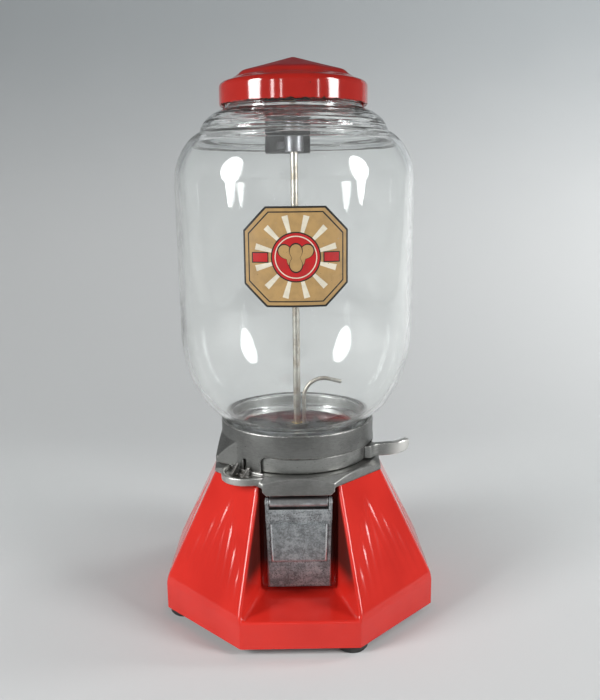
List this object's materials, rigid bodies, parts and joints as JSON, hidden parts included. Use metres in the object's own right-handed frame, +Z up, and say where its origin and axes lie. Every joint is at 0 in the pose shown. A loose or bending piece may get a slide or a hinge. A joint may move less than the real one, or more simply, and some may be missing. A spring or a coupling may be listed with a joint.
{
  "type": "peanut vending machine",
  "caption": "Counter-top nut vending machine: octagonal fluted base with a flap outlet, glass globe, lever-driven measuring wheel and locking lid.",
  "frame": {"origin": "on the table under the middle of the base", "axes": "+Z up along the tie rod, -Y towards the customer's side with the flap, +X towards the lever at rest"},
  "size_m": [0.175, 0.175, 0.356],
  "materials": {
    "red_enamel": "gloss porcelain enamel",
    "cast_aluminium": "satin sand casting, worn bright on its edges",
    "black_rubber": "matt",
    "steel": "plain zinc-plated",
    "sheet_steel": "galvanised sheet",
    "dark_steel": "dark oiled",
    "zinc": "mottled dark die casting",
    "brass": "turned",
    "glass": "clear thick pressed glass",
    "bristle": "natural bristle"
  },
  "bodies": {
    "frame": {"base_shell": "red_enamel", "bottom_plate": "sheet_steel", "rubber_feet": "black_rubber", "foot_screws": "steel", "cash_tray": "sheet_steel", "top_casting": "cast_aluminium", "collar": "cast_aluminium", "collar_screws": "steel", "return_spring": "dark_steel", "cutoff_plate": "dark_steel", "cutoff_screws": "steel", "brush_hood": "dark_steel", "wheel_brush": "bristle", "tie_rod": "steel", "rod_nuts": "steel", "rod_keeper": "dark_steel", "nut_chute": "sheet_steel", "chute_screws": "steel", "door_frame": "zinc", "flap_pin": "steel", "coin_guide": "sheet_steel", "pawl_pin": "steel", "pawl_spring": "dark_steel", "globe_gasket": "black_rubber", "globe": "glass"},
    "rotor": {"drive_ring": "cast_aluminium", "measuring_wheel": "cast_aluminium", "wheel_screws": "steel", "hub_bush": "brass", "hub_clip": "dark_steel", "agitator": "steel"},
    "flap": {"flap_door": "zinc"},
    "pawl": {"coin_pawl": "dark_steel"},
    "lid": {"lid": "red_enamel", "lid_gasket": "black_rubber", "lock_case": "dark_steel", "lock_screws": "steel"},
    "plug": {"lock_plug": "brass"},
    "bolt": {"lock_bolt": "steel"}
  },
  "joints": [
    {"name": "lever_turn", "type": "hinge", "parent": "frame", "child": "rotor", "pos_m": [0, 0, 0.106], "axis": [0, 0, -1], "range_deg": [0, 86], "stiffness_Nm_per_rad": 0.05, "springref_deg": -17.19},
    {"name": "flap_swing", "type": "hinge", "parent": "frame", "child": "flap", "pos_m": [0, -0.0506, 0.0834], "axis": [-1, 0, 0], "range_deg": [0, 65]},
    {"name": "pawl_swing", "type": "hinge", "parent": "frame", "child": "pawl", "pos_m": [0.00561, 0.03371, 0.092], "axis": [-0.5, -0.866, 0], "range_deg": [0, 12], "stiffness_Nm_per_rad": 0.01, "springref_deg": -5.73},
    {"name": "lid_lift", "type": "slide", "parent": "frame", "child": "lid", "axis": [0, 0, 1], "range_m": [0, 0.06]},
    {"name": "lock_turn", "type": "hinge", "parent": "lid", "child": "plug", "pos_m": [-0.004, 0.0142, 0.345], "axis": [0, 0, -1], "range_deg": [0, 90]},
    {"name": "bolt_slide", "type": "slide", "parent": "lid", "child": "bolt", "axis": [0, -1, 0], "range_m": [0, 0.0036]}
  ],
  "couplings": [
    {"joint": "bolt_slide", "follows": "lock_turn", "m_per_rad": 0.0022917}
  ]
}
